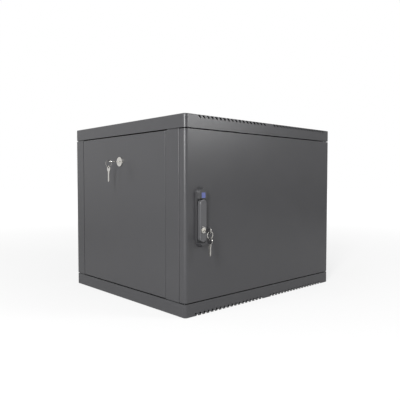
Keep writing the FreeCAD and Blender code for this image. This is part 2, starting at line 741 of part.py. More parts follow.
def make_door():
    """The door pan: a skin with four folded edges, open at the back."""
    body = new_body("door_panel")
    outer = [rounded(f"-{HALF_WIDTH}", FRONT, "front_corner"), rounded(HALF_WIDTH, FRONT, "front_corner"),
             (HALF_WIDTH, DOOR_BACK), (f"-{HALF_WIDTH}", DOOR_BACK)]
    pad(body, "XY", [outer], FRAME_LOW, FRAME_HIGH)
    wide = f"({HALF_WIDTH} - door_sheet)"
    inner_corner = "(front_corner - door_sheet)"
    inner = [rounded(f"-{wide}", DOOR_INSIDE, inner_corner), rounded(wide, DOOR_INSIDE, inner_corner),
             (wide, DOOR_BACK), (f"-{wide}", DOOR_BACK)]
    cut(body, "XY", [inner], f"{FRAME_LOW} + door_sheet", f"{FRAME_HIGH} - door_sheet")
    low, high = value(FRAME_LOW), value(FRAME_HIGH)
    round_edges(body, "door_edge / 2", lambda edge: edge.BoundBox.ZLength < 0.001
                and (abs(edge.BoundBox.ZMin - low) < 0.001 or abs(edge.BoundBox.ZMin - high) < 0.001)
                and edge.BoundBox.YMax < value(FRONT) + value("front_corner") + 0.001
                and abs(edge.CenterOfMass.y - value(FRONT)) < value("front_corner"))
    bush_hole = circle(PIN_X, PIN_Y, f"{BUSH_RADIUS} + run_clearance")
    cut(body, "XY", [bush_hole], FRAME_LOW, f"{FRAME_LOW} + door_sheet")
    cut(body, "XY", [bush_hole], f"{FRAME_HIGH} - door_sheet", FRAME_HIGH)
    spigot_hole = circle(HANDLE_X, SPINDLE_Z, "spigot_radius + bolt_clearance")
    cut(body, "XZ", [spigot_hole], FRONT, DOOR_INSIDE)
    return body


def make_stiffeners():
    """Two channels welded upright behind the door skin."""
    channels = []
    for x in (f"(-{HALF_WIDTH} + stiffener_place)", f"({HALF_WIDTH} - stiffener_place)"):
        body = document.addObject("PartDesign::Body", "stiffener")
        left, right = f"{x} - stiffener_width / 2", f"{x} + stiffener_width / 2"
        back = f"{DOOR_INSIDE} + stiffener_depth"
        profile = [(left, DOOR_INSIDE), (f"{left} + door_sheet", DOOR_INSIDE), (f"{left} + door_sheet", f"{back} - door_sheet"),
                   (f"{right} - door_sheet", f"{back} - door_sheet"), (f"{right} - door_sheet", DOOR_INSIDE),
                   (right, DOOR_INSIDE), (right, back), (left, back)]
        pad(body, "XY", [profile], f"{FRAME_LOW} + stiffener_margin", f"{FRAME_HIGH} - stiffener_margin")
        channels.append(body)
    return solid_group("door_stiffeners", channels)


def rod(axis, first, second, radius, start, end):
    """A cylinder along X, Y or Z; first and second are its two other coordinates in axis order."""
    part = document.addObject("Part::Cylinder", "rod")
    part.setExpression("Radius", bind(radius))
    part.setExpression("Height", bind(f"({end}) - ({start})"))
    part.Placement = Placement(Vector(), {"X": TO_RIGHT, "Y": TO_REAR, "Z": UP}[axis])
    places = {"X": (start, first, second), "Y": (first, start, second), "Z": (first, second, start)}
    move(part, *places[axis])
    return part


def fuse(parts, label="fused"):
    joined = document.addObject("Part::MultiFuse", label)
    joined.Shapes = parts
    return joined


def subtract(base, tool, label="drilled"):
    result = document.addObject("Part::Cut", label)
    result.Base = base
    result.Tool = tool
    return result


def make_hinges():
    """Headed hinge pins through the covers' flanges, and the bushes that turn on them in the door."""
    bushes = []
    for level in ("lower", "upper"):
        def post(radius, low, high, turned_over=level == "upper"):
            """An upright rod on the hinge axis, at the bottom or turned over at the top."""
            ends = (f"{TOP} - ({high})", f"{TOP} - ({low})") if turned_over else (low, high)
            return rod("Z", PIN_X, PIN_Y, radius, *ends)

        flange_under = "(cover_height - cover_sheet)"
        bush_end = f"{FRAME_LOW} + bush_length"
        pin = fuse([post("pin_radius + bush_wall", f"{flange_under} - pin_head", flange_under),
                    post("pin_radius", flange_under, f"{bush_end} - pin_collar"),
                    post("pin_radius + bush_wall", "cover_height", "cover_height + pin_collar")])
        keep(pin, f"{level}_hinge_pin")
        bushes.append(subtract(post(BUSH_RADIUS, FRAME_LOW, bush_end),
                               post("pin_radius + run_clearance", FRAME_LOW, bush_end)))
    solid_group("hinge_bushes", bushes)


# ------------------------------------------------------------ swing handle

BASE_FACE = f"({FRONT} - handle_base)"
HANDLE_FACE = f"({FRONT} - handle_proud)"
DISH_FLOOR = f"({BASE_FACE} + dish_depth)"
LEVER_BACK = f"({BASE_FACE} - fit_gap)"
LIFT_Z = f"({SPINDLE_Z} + lift_pin_rise)"
LIFT_Y = f"({LEVER_BACK} - lift_pin_radius - lift_pin_wall)"
LIFT_EYE = "(lift_pin_radius + lift_pin_wall)"
LEVER_END = f"({SPINDLE_Z} - lever_reach)"
HANDLE_LOCK_Z = f"({SPINDLE_Z} - handle_lock_drop)"
HEAD_ARC = "(lever_width / 2 + head_gap)"
CAM_FRONT = f"({FRAME_FRONT} + frame_sheet + cam_clearance)"
CAM_BACK = f"({CAM_FRONT} + cam_sheet)"
LOCK_FACE = f"({HANDLE_FACE} - lock_proud)"
LOCK_BACK = f"({LEVER_BACK} - lock_tail - fit_gap)"
HEAD_LOW = f"({SPINDLE_Z} + lever_width / 2 + head_gap)"
LABEL_LOW = f"({HEAD_LOW} + label_corner)"
SPIGOT_END = f"({DOOR_INSIDE} + nut_height + 2 * fit_gap)"
KEY_SLOT_THICK = "(key_sheet + 2 * key_slot_clearance)"
KEY_SLOT_WIDE = "(key_blade + 2 * key_slot_clearance)"


def make_handle_base():
    """The moulded base: a sloped body cut back under the lever's sweep, so a head and a foot stay proud."""
    body = new_body("handle_base")
    radius = "handle_width / 2"
    whole = upright_stadium(HANDLE_X, f"handle_bottom + {radius}", f"{HANDLE_TOP} - {radius}", radius)
    pad(body, "XZ", [whole], HANDLE_FACE, FRONT, "handle_slope")
    wide = f"({radius} + head_gap)"
    foot = f"{SPINDLE_Z} - sqrt(pow(lever_reach + head_gap; 2) - pow({wide}; 2))"
    left, right = f"{HANDLE_X} - {wide}", f"{HANDLE_X} + {wide}"
    lever_space = [(left, foot), arc_to(right, foot, HANDLE_X, SPINDLE_Z, True), (right, HEAD_LOW), (left, HEAD_LOW)]
    cut(body, "XZ", [lever_space], HANDLE_FACE, BASE_FACE)
    cut(body, "XZ", [circle(HANDLE_X, SPINDLE_Z, HEAD_ARC)], BASE_FACE, DISH_FLOOR)
    label = [rounded(x, z, "label_corner") for x, z in rectangle(
        f"{HANDLE_X} - label_width / 2", f"{HANDLE_X} + label_width / 2", LABEL_LOW, f"{LABEL_LOW} + label_height")]
    cut(body, "XZ", [label], HANDLE_FACE, f"{HANDLE_FACE} + label_depth")
    pad(body, "XZ", [circle(HANDLE_X, SPINDLE_Z, "spigot_radius")], FRONT, SPIGOT_END)
    cut(body, "XZ", [circle(HANDLE_X, SPINDLE_Z, "spindle_radius + run_clearance")], HANDLE_FACE, SPIGOT_END)
    return body


def make_label():
    """A plain inlay set into the head."""
    body = new_body("handle_inlay")
    clear = "bolt_clearance / 2"
    outline = [rounded(x, z, f"(label_corner - {clear})") for x, z in rectangle(
        f"{HANDLE_X} - label_width / 2 + {clear}", f"{HANDLE_X} + label_width / 2 - {clear}",
        f"{LABEL_LOW} + {clear}", f"{LABEL_LOW} + label_height - {clear}")]
    pad(body, "XZ", [outline], HANDLE_FACE, f"{HANDLE_FACE} + label_depth")


def make_spindle():
    """The spindle: a hub in the base's dish, a fork block for the lift pin and a square cam seat."""
    hub = rod("Y", HANDLE_X, SPINDLE_Z, "hub_radius", f"{DISH_FLOOR} - hub_height - run_clearance",
              f"{DISH_FLOOR} - run_clearance")
    shaft = rod("Y", HANDLE_X, SPINDLE_Z, "spindle_radius", f"{DISH_FLOOR} - hub_height", CAM_FRONT)
    eye = rod("X", LIFT_Y, LIFT_Z, LIFT_EYE, f"{HANDLE_X} - fork_width / 2", f"{HANDLE_X} + fork_width / 2")
    block = box((f"{HANDLE_X} - fork_width / 2", f"{LIFT_Y} - {LIFT_EYE}", f"{SPINDLE_Z} - spindle_radius"),
                (f"{HANDLE_X} + fork_width / 2", f"{DISH_FLOOR} - hub_height", LIFT_Z))
    seat = box((f"{HANDLE_X} - cam_seat / 2", CAM_FRONT, f"{SPINDLE_Z} - cam_seat / 2"),
               (f"{HANDLE_X} + cam_seat / 2", CAM_BACK, f"{SPINDLE_Z} + cam_seat / 2"))
    pin_hole = rod("X", LIFT_Y, LIFT_Z, "lift_pin_radius + run_clearance", f"{HANDLE_X} - fork_width",
                   f"{HANDLE_X} + fork_width")
    screw_hole = rod("Y", HANDLE_X, SPINDLE_Z, "small_screw_radius + run_clearance", f"{CAM_BACK} - cam_screw_length",
                     f"{CAM_BACK} + 1")
    keep(subtract(fuse([hub, shaft, eye, block, seat]), fuse([pin_hole, screw_hole])), "handle_spindle")


def box(low, high):
    """A box between two corners given as expressions."""
    part = document.addObject("Part::Box", "box")
    for name, first, last in zip(("Length", "Width", "Height"), low, high):
        part.setExpression(name, bind(f"({last}) - ({first})"))
    move(part, *low)
    return part


def make_latch_cam():
    """The flat cam that turns behind the latch post."""
    body = new_body("latch_cam")
    half = "cam_width / 2"
    tip = f"{HANDLE_X} - cam_reach"
    outline = [rounded(tip, f"{SPINDLE_Z} - {half}", "bend_radius"), (HANDLE_X, f"{SPINDLE_Z} - {half}"),
               arc_to(HANDLE_X, f"{SPINDLE_Z} + {half}", HANDLE_X, SPINDLE_Z, True),
               rounded(tip, f"{SPINDLE_Z} + {half}", "bend_radius")]
    pad(body, "XZ", [outline], CAM_FRONT, CAM_BACK)
    seat = f"cam_seat / 2 + run_clearance"
    hole = rectangle(f"{HANDLE_X} - ({seat})", f"{HANDLE_X} + ({seat})", f"{SPINDLE_Z} - ({seat})",
                     f"{SPINDLE_Z} + ({seat})")
    cut(body, "XZ", [hole], CAM_FRONT, CAM_BACK)


def make_lever():
    """The lever: a round-ended bar, forked over the spindle block and bored for its lock."""
    body = new_body("handle_lever")
    half = "lever_width / 2"
    outline = upright_stadium(HANDLE_X, f"{LEVER_END} + {half}", SPINDLE_Z, half)
    pad(body, "XZ", [outline], HANDLE_FACE, LEVER_BACK)
    face = value(HANDLE_FACE)
    round_edges(body, "lever_round", lambda edge: edge.BoundBox.YMax < face + 0.001)
    fork = "(fork_width / 2 + fit_gap)"
    slot = rectangle(f"{HANDLE_X} - {fork}", f"{HANDLE_X} + {fork}", f"{SPINDLE_Z} - 2 * spindle_radius",
                     f"{SPINDLE_Z} + lever_width")
    cut(body, "XZ", [slot], f"{LIFT_Y} - {LIFT_EYE} - 2 * fit_gap", LEVER_BACK)
    cut(body, "XZ", [circle(HANDLE_X, HANDLE_LOCK_Z, "handle_lock_radius + run_clearance")], HANDLE_FACE, LEVER_BACK)
    across = f"({HANDLE_X} + {half})"
    cut(body, "YZ", [circle(LIFT_Y, LIFT_Z, "lift_pin_radius + run_clearance")], f"{HANDLE_X} - {half}", across)


def make_lift_pin():
    ends = (f"{HANDLE_X} - lift_pin_reach", f"{HANDLE_X} + lift_pin_reach")
    keep(rod("X", LIFT_Y, LIFT_Z, "lift_pin_radius", *ends), "lever_pin")


def make_handle_nut():
    """The hexagon nut that clamps the base through the door skin."""
    nut = document.addObject("Part::Prism", "hexagon")
    nut.Polygon = 6
    nut.setExpression("Circumradius", bind("spigot_radius * 1.5"))
    nut.setExpression("Height", bind("nut_height"))
    nut.Placement = Placement(Vector(), TO_REAR)
    move(nut, HANDLE_X, DOOR_INSIDE, SPINDLE_Z)
    hole = rod("Y", HANDLE_X, SPINDLE_Z, "spigot_radius + run_clearance", DOOR_INSIDE, f"{DOOR_INSIDE} + nut_height")
    keep(subtract(nut, hole), "handle_nut")


def make_handle_lock():
    """The lock housing in the lever and the plug, whose tail turns inside the lever's bore."""
    at = (HANDLE_X, HANDLE_LOCK_Z)
    housing = subtract(rod("Y", *at, "handle_lock_radius", LOCK_FACE, LOCK_BACK),
                       rod("Y", *at, "plug_radius + run_clearance", LOCK_FACE, LOCK_BACK))
    keep(housing, "handle_lock_housing")
    barrel = rod("Y", *at, "plug_radius", LOCK_FACE, LOCK_BACK)
    tail = box((f"{HANDLE_X} - plug_radius / 2", LOCK_BACK, f"{HANDLE_LOCK_Z} - plug_radius"),
               (f"{HANDLE_X} + plug_radius / 2", f"{LOCK_BACK} + lock_tail", f"{HANDLE_LOCK_Z} + plug_radius"))
    slot = box((f"{HANDLE_X} - {KEY_SLOT_THICK} / 2", LOCK_FACE, f"{HANDLE_LOCK_Z} - {KEY_SLOT_WIDE} / 2"),
               (f"{HANDLE_X} + {KEY_SLOT_THICK} / 2", LOCK_BACK, f"{HANDLE_LOCK_Z} + {KEY_SLOT_WIDE} / 2"))
    keep(subtract(fuse([barrel, tail]), slot), "handle_lock_plug")


# -------------------------------------------------------- side panel locks

LOCK_OUT = f"({HALF_WIDTH} + side_lock_proud)"
LOCK_IN = f"({HALF_WIDTH} - side_lock_length)"


def make_side_lock(side, sign):
    """A cam lock in a side panel: housing, nut, plug, cam and screw; it rests unlocked, its cam level."""
    at = (SIDE_LOCK_Y, "side_lock_height")

    def turned(radius, near, far):
        return rod("X", *at, radius, *span(sign, near, far))

    shell = fuse([turned("side_lock_flange", HALF_WIDTH, LOCK_OUT), turned("side_lock_barrel", LOCK_IN, HALF_WIDTH)])
    keep(subtract(shell, turned("plug_radius + run_clearance", LOCK_IN, LOCK_OUT)), f"{side}_lock_housing")
    nut = document.addObject("Part::Prism", "hexagon")
    nut.Polygon = 6
    nut.setExpression("Circumradius", bind("side_lock_barrel * 1.5"))
    nut.setExpression("Height", bind("nut_height"))
    nut.Placement = Placement(Vector(), TO_RIGHT)
    low, high = span(sign, f"{HALF_WIDTH} - panel_sheet - nut_height", f"{HALF_WIDTH} - panel_sheet")
    move(nut, low, *at)
    nut_hole = rod("X", *at, "side_lock_barrel + run_clearance", low, high)
    keep(subtract(nut, nut_hole), f"{side}_lock_nut")
    cam_far, cam_near = f"({LOCK_IN} - fit_gap)", f"({LOCK_IN} - fit_gap - cam_sheet)"
    barrel = turned("plug_radius", cam_far, LOCK_OUT)
    square = f"cam_seat / 2"
    low, high = span(sign, cam_near, cam_far)
    seat = box((low, f"{SIDE_LOCK_Y} - {square}", f"side_lock_height - {square}"),
               (high, f"{SIDE_LOCK_Y} + {square}", f"side_lock_height + {square}"))
    low, high = span(sign, f"{LOCK_OUT} - key_blade_depth", LOCK_OUT)
    slot = box((low, f"{SIDE_LOCK_Y} - {KEY_SLOT_WIDE} / 2", f"side_lock_height - {KEY_SLOT_THICK} / 2"),
               (high, f"{SIDE_LOCK_Y} + {KEY_SLOT_WIDE} / 2", f"side_lock_height + {KEY_SLOT_THICK} / 2"))
    bore = turned("small_screw_radius + run_clearance", f"{cam_near} - 1", f"{cam_near} + cam_screw_length")
    keep(subtract(fuse([barrel, seat]), fuse([slot, bore])), f"{side}_lock_plug")
    cam = new_body(f"{side}_lock_cam")
    half = "cam_width / 2"
    tip = f"{SIDE_LOCK_Y} + side_cam_reach"
    low_z, high_z = f"side_lock_height - {half}", f"side_lock_height + {half}"
    outline = [rounded(tip, low_z, "bend_radius"), rounded(tip, high_z, "bend_radius"), (SIDE_LOCK_Y, high_z),
               arc_to(SIDE_LOCK_Y, low_z, SIDE_LOCK_Y, "side_lock_height", True)]
    low, high = span(sign, cam_near, cam_far)
    pad(cam, "YZ", [outline], low, high)
    hole = f"({square} + run_clearance)"
    cut(cam, "YZ", [rectangle(f"{SIDE_LOCK_Y} - {hole}", f"{SIDE_LOCK_Y} + {hole}",
                              f"side_lock_height - {hole}", f"side_lock_height + {hole}")], low, high)
    turn = TO_RIGHT if sign > 0 else TO_LEFT
    screw = hex_screw((*mirrored(sign, cam_near), *at), turn, "small_screw_radius", "cam_screw_length - 1",
                      "small_screw_head + 1.5", "small_screw_head_height")
    keep(screw, f"{side}_cam_screw")


# -------------------------------------------------------------------- keys

def make_key(label, turn, eye, length="key_length"):
    """A flat key, drawn hanging with its eye at the local origin, then turned and placed by its eye."""
    body = new_body(label)
    middle = "(-key_eye_offset)"
    tip = f"({middle} - key_bow - {length})"
    half = "(key_blade / 2)"
    narrow = f"({half} - key_shoulder)"
    reach = f"({middle} - sqrt(pow(key_bow; 2) - pow({half}; 2)))"
    neck = f"({reach} - key_neck)"
    outline = [arc_to(f"-{half}", reach, "0", middle, True), (f"-{half}", neck),
               (f"-{narrow}", f"{neck} - key_shoulder"), (f"-{narrow}", f"{tip} + key_point"), ("0", tip),
               (half, f"{tip} + key_point"), (half, reach)]
    pad(body, "YZ", [outline], "-key_sheet / 2", "key_sheet / 2")
    cut(body, "YZ", [circle("0", "0", "key_eye")], "-key_sheet / 2", "key_sheet / 2")
    body.Placement = Placement(Vector(), turn)
    move(body, *eye)


def make_ring(label, x, y, z):
    """A flat split ring that stands in the front plane, about a centre."""
    ends = (f"{y} - ring_wire", f"{y} + ring_wire")
    outer = rod("Y", x, z, "ring_radius + ring_wire", *ends)
    keep(subtract(outer, rod("Y", x, z, "ring_radius - ring_wire", *ends)), label)


EYE_TO_BLADE = "(key_bow + key_eye_offset)"
HANG = "(ring_wire + 2 * fit_gap - key_eye)"


def make_handle_keys():
    """The key in the handle lock, its ring and the spare key that hangs from it."""
    eye_y = f"({LOCK_FACE} + handle_key_insert - handle_key_length - {EYE_TO_BLADE})"
    make_key("handle_key", TO_FRONT, (HANDLE_X, eye_y, HANDLE_LOCK_Z), "handle_key_length")
    top = f"({HANDLE_LOCK_Z} + {HANG})"
    make_ring("handle_key_ring", HANDLE_X, eye_y, f"({top} - ring_radius)")
    make_key("handle_spare_key", UP, (HANDLE_X, eye_y, f"{top} - 2 * ring_radius + {HANG}"))


def make_side_keys():
    """The key in the left panel's lock, its ring and the spare key."""
    eye_x = f"(-{LOCK_OUT} + side_key_insert - key_length - {EYE_TO_BLADE})"
    make_key("left_panel_key", TO_LEFT, (eye_x, SIDE_LOCK_Y, "side_lock_height"))
    # the ring goes down through the eye and round the bow's rim
    drop = "(ring_radius - ring_wire - key_sheet / 2 - 3 * fit_gap)"
    ring_x = f"({eye_x} - sqrt(pow(ring_radius; 2) - pow({drop}; 2)) + ring_shift)"
    ring_z = f"(side_lock_height - {drop})"
    make_ring("left_panel_key_ring", ring_x, SIDE_LOCK_Y, ring_z)
    make_key("left_panel_spare_key", UP, (ring_x, SIDE_LOCK_Y, f"{ring_z} - ring_radius + {HANG}"))


# ----------------------------------------------------------------- screws

def make_screws():
    """The visible and inner fasteners, each kind a group of separate screws."""
    big = ("screw_radius", "screw_head", "screw_head_height")
    small = ("small_screw_radius", "small_screw_head", "small_screw_head_height")

    def screw(at, turn, kind, length):
        return hex_screw(at, turn, kind[0], length, kind[1], kind[2])

    post_screws, bracket_screws, rail_screws, panel_screws, plate_screws = [], [], [], [], []
    post_length = "(cover_sheet + shadow_gap + foot_plate + 1.5)"
    for sign in SIDES.values():
        for end in ("front", "rear"):
            x = mirrored(sign, foot_x())[0]
            y = foot_y(end)
            low, high = "cover_height - cover_sheet", f"{TOP} - cover_height + cover_sheet"
            post_screws += [screw((x, y, low), UP, big, post_length), screw((x, y, high), DOWN, big, post_length)]
            x = mirrored(sign, SEAT)[0]
            inward = TO_LEFT if sign > 0 else TO_RIGHT
            bracket_screws += [screw((x, seat_screw_y(end), bracket_screw_z(level)), inward, big,
                                     "frame_sheet + bracket_sheet + 2") for level in ("lower", "upper")]
            x, y = mirrored(sign, rail_screw_x())[0], rail_screw_y(end)
            low, high = "rail_start - bracket_sheet", f"{TOP} - rail_start + bracket_sheet"
            rail_length = "bracket_sheet + rail_tab + 2"
            rail_screws += [screw((x, y, low), UP, big, rail_length), screw((x, y, high), DOWN, big, rail_length)]
        panel_screws += [screw((mirrored(sign, rear_screw_x())[0], f"{REAR} - 2 * frame_sheet", z), TO_REAR, small,
                               "2 * frame_sheet - fit_gap") for z in rear_screw_heights()]
    seat = "cover_sheet + plate_sheet"
    for x, y in cable_plate_places():
        plate_screws += [screw((x, y, seat), DOWN, small, f"{seat} - fit_gap"),
                         screw((x, y, f"{TOP} - ({seat})"), UP, small, f"{seat} - fit_gap")]
    solid_group("post_screws", post_screws)
    solid_group("bracket_screws", bracket_screws)
    solid_group("rail_screws", rail_screws)
    solid_group("rear_panel_screws", panel_screws)
    solid_group("cable_plate_screws", plate_screws)
    keep(screw((HANDLE_X, CAM_BACK, SPINDLE_Z), TO_FRONT, ("small_screw_radius", "small_screw_head + 1.5",
                                                         "small_screw_head_height"), "cam_screw_length - 1"),
         "latch_cam_screw")


# ------------------------------------------------------------------ build

def build_cabinet():
    """Make every sub-part."""
    for name in ("bottom_cover", "top_cover"):
        cover = make_cover(name)
        if name == "top_cover":
            turn_over(cover)
    for name in ("bottom_cable_plate", "top_cable_plate"):
        plate = make_cable_plate(name)
        if name == "top_cable_plate":
            turn_over(plate)
    for side, sign in SIDES.items():
        for end in ("front", "rear"):
            make_post(f"{side}_{end}_post", sign, end)
            make_rail(f"{side}_{end}_rail", sign, end)
        for level in ("lower", "upper"):
            make_bracket(f"{side}_{level}_bracket", sign, level)
        make_side_panel(f"{side}_side_panel", sign)
        make_side_lock(side, sign)
    make_rear_panel()
    make_door()
    make_stiffeners()
    make_hinges()
    make_handle_base()
    make_label()
    make_handle_nut()
    make_spindle()
    make_latch_cam()
    make_lever()
    make_lift_pin()
    make_handle_lock()
    make_handle_keys()
    make_side_keys()
    make_screws()


def check_and_export():
    """Stop on any failed object, then write one STEP file for each node."""
    document.recompute()
    for item in document.Objects:
        if "Invalid" in item.State or "Error" in item.State:
            raise RuntimeError(f"{item.Label} failed: {item.State}")
    for node in nodes:
        if node.Shape.isNull() or not node.Shape.isValid() or not node.Shape.Solids:
            raise RuntimeError(f"{node.Label} has no valid solid")
    os.makedirs("parts", exist_ok=True)
    for node in nodes:
        node.Shape.exportStep(f"parts/{node.Label}.step")


build_cabinet()
check_and_export()
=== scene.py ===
import json
import math

import bpy
from mathutils import Euler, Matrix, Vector

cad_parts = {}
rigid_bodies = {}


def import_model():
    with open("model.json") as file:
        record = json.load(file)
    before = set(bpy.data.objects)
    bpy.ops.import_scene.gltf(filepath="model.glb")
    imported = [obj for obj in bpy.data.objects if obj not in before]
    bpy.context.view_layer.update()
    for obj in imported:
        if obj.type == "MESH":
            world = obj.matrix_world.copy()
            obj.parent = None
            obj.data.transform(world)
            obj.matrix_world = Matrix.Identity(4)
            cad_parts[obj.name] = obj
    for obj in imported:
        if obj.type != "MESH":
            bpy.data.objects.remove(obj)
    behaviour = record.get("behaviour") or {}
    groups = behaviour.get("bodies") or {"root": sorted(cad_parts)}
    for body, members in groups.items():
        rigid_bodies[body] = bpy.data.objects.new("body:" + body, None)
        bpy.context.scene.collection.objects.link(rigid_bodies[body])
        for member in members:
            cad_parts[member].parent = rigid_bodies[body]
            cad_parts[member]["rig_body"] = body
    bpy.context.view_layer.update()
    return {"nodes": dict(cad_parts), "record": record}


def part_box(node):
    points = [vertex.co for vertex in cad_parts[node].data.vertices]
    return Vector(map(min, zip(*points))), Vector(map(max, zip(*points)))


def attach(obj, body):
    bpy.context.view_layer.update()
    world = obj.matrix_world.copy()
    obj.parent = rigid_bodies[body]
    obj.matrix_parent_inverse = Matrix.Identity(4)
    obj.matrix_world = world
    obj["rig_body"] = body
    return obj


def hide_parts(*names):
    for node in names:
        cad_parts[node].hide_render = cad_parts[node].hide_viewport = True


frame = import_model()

bl_info = {
    "name": "Wall mount network cabinet",
    "version": (1, 0, 0),
    "blender": (4, 5, 0),
    "location": "View3D > Sidebar > Cabinet",
    "description": "Dresses the packed cabinet with its finishes, keys, rings and screws",
    "category": "Object",
}

MM = 0.001

# Joining and shading of the copied solids: lengths in metres, angles in degrees.
WELD_GAP = 0.002 * MM
FLAT_ANGLE = 0.4
SHARP_ANGLE = 35
KEY_EDGE = 0.3 * MM
SCREW_EDGE = 0.2 * MM
LEVER_EDGE_SCALE = 1.6
DISC_SIDES = 72

# The floor glows for the camera alone, and fully only from FADE_END metres out.
FLOOR_SIZE = 30.0
FLOOR_DROP = 0.2 * MM
FLOOR_GLOW = 0.7
FLOOR_STRENGTH = 1.08
FADE_START = 0.5
FADE_END = 3.0

# The sky is dim for the paint and brighter where a surface mirrors it.
SKY_LEVEL = 0.22
SKY_IN_METAL = 0.5
WHITE = (1, 1, 1, 1)

# The camera's place in metres, its turn in degrees and its lens in millimetres.
CAMERA_PLACE = (-0.99571, -1.07432, 0.32345)
CAMERA_YAW = 42.3724
CAMERA_PITCH = -2.3829
CAMERA_LENS = 41.69
SENSOR_WIDTH = 36.0


# ---------------------------------------------------------------- settings

def length(name, description, millimetres):
    """A length that a user may change, kept in metres."""
    return bpy.props.FloatProperty(name=name, description=description, default=millimetres * MM,
                                   min=0.0, precision=5, unit="LENGTH", subtype="DISTANCE")


def linear(hex_colour):
    """Linear red, green, blue and alpha of an sRGB hex colour."""
    channels = [int(hex_colour[i:i + 2], 16) / 255 for i in (1, 3, 5)]
    return (*[c / 12.92 if c <= 0.04045 else ((c + 0.055) / 1.055) ** 2.4 for c in channels], 1.0)


def colour(name, description, hex_colour):
    """A colour that a user may change, given in sRGB hex."""
    return bpy.props.FloatVectorProperty(name=name, description=description, default=linear(hex_colour),
                                         size=4, min=0.0, max=1.0, subtype="COLOR")


class CabinetColours(bpy.types.PropertyGroup):
    """Colours of the finishes and of the stage."""

    powder: colour("Powder coat", "Charcoal powder coat of the covers, panels and door", "#3b3b3d")
    zinc: colour("Zinc", "Zinc plate of the rails and screws", "#c4c6c8")
    nickel: colour("Nickel", "Nickel plate of the locks, keys and rings", "#cfcdc8")
    moulding: colour("Handle base", "Black nylon of the swing handle's base", "#303032")
    # The lever's tint is paler than the base's: partly a tone of its own, partly a painted highlight for the
    # light on its side.
    lever: colour("Lever", "Charcoal nylon of the swing handle's lever", "#4c4c4e")
    key_head: colour("Key head", "Soft black plastic of the key heads", "#19191b")
    inlay: colour("Inlay", "Blue plate in the head of the handle", "#525a8e")
    nylon: colour("Bush", "Natural nylon of the hinge bushes", "#d8d4c6")
    floor: colour("Floor", "Pale studio floor", "#d6d6d6")


class CabinetSizes(bpy.types.PropertyGroup):
    """Sizes of the pieces and of the grain of their finishes."""

    sheet_edge: length("Sheet edge", "Radius that the coat gives to a cut sheet edge", 0.35)
    moulded_edge: length("Moulded edge", "Radius on the edges of the moulded handle", 0.5)
    powder_grain: length("Powder grain", "Spacing of the texture of the powder coat", 0.9)
    moulded_grain: length("Moulded grain", "Spacing of the spark texture on the handle", 0.6)
    key_head_sheet: length("Key head", "Thickness of a key's plastic head", 3.6)
    key_head_edge: length("Key head edge", "Radius round a key's plastic head", 0.7)
    key_head_eye: length("Key head eye", "Radius of the eye in a key's plastic head", 3.0)
    key_eye_offset: length("Key eye", "From the middle of a key's bow to its eye", 3.8)


# --------------------------------------------------------------- materials

def add_node(tree, kind, settings=None, links=None):
    """Add one shader node, set its properties and inputs, and link what feeds it."""
    node = tree.nodes.new(kind)
    for name, value in (settings or {}).items():
        if name in node.inputs:
            node.inputs[name].default_value = value
        else:
            setattr(node, name, value)
    for name, source in (links or {}).items():
        tree.links.new(source, node.inputs[name])
    return node


def start_material(name, settings):
    """A material with a Principled shader, its constants and its Object coordinates."""
    material = bpy.data.materials.new(name)
    material.use_nodes = True
    tree = material.node_tree
    tree.nodes.clear()
    shader = add_node(tree, "ShaderNodeBsdfPrincipled", settings)
    add_node(tree, "ShaderNodeOutputMaterial", links={"Surface": shader.outputs["BSDF"]})
    place = add_node(tree, "ShaderNodeTexCoord").outputs["Object"]
    return material, tree, shader, place


def shade(value, factor):
    """A lighter or darker version of a linear colour."""
    return (*[min(1.0, c * factor) for c in value[:3]], 1.0)


def mottle(tree, shader, place, base, grain, spread, roughness):
    """Vary colour and roughness by a soft noise of the given size in metres."""
    cloud = add_node(tree, "ShaderNodeTexNoise", {"Scale": 1 / grain, "Detail": 3.0, "Roughness": 0.55},
                     {"Vector": place})
    tint = add_node(tree, "ShaderNodeMix", {"data_type": "RGBA"}, {"Factor": cloud.outputs["Fac"]})
    # Inputs 6 and 7 and output 2 are the mix node's colours; its names repeat for each data type.
    tint.inputs[6].default_value = shade(base, 1 - spread)
    tint.inputs[7].default_value = shade(base, 1 + spread)
    tree.links.new(tint.outputs[2], shader.inputs["Base Color"])
    rough = add_node(tree, "ShaderNodeMapRange", {"To Min": roughness[0], "To Max": roughness[1]},
                     {"Value": cloud.outputs["Fac"]})
    tree.links.new(rough.outputs["Result"], shader.inputs["Roughness"])


def grain_bump(tree, shader, place, spacing, depth):
    """Fine cast or sprayed texture as a bump, spacing and depth in metres."""
    grains = add_node(tree, "ShaderNodeTexNoise", {"Scale": 1 / spacing, "Detail": 2.0, "Roughness": 0.6},
                      {"Vector": place})
    bump = add_node(tree, "ShaderNodeBump", {"Strength": 1.0, "Distance": depth},
                    {"Height": grains.outputs["Fac"]})
    tree.links.new(bump.outputs["Normal"], shader.inputs["Normal"])


def powder_coated_steel():
    """Baked polyester powder coat: a satin skin whose fine orange peel softens reflections."""
    tints, sizes = bpy.context.scene.cabinet_colours, bpy.context.scene.cabinet_sizes
    constants = {"IOR": 1.5, "Specular IOR Level": 0.5}
    material, tree, shader, place = start_material("powder_coated_steel", constants)
    mottle(tree, shader, place, tints.powder, grain=60 * MM, spread=0.05, roughness=(0.27, 0.33))
    grain_bump(tree, shader, place, sizes.powder_grain, depth=0.012 * MM)
    return material


def zinc_plated_steel():
    """Bright zinc plate on rolled steel: a silvery metal clouded by the passivation."""
    tints = bpy.context.scene.cabinet_colours
    material, tree, shader, place = start_material("zinc_plated_steel", {"Metallic": 1.0})
    mottle(tree, shader, place, tints.zinc, grain=9 * MM, spread=0.06, roughness=(0.26, 0.38))
    return material


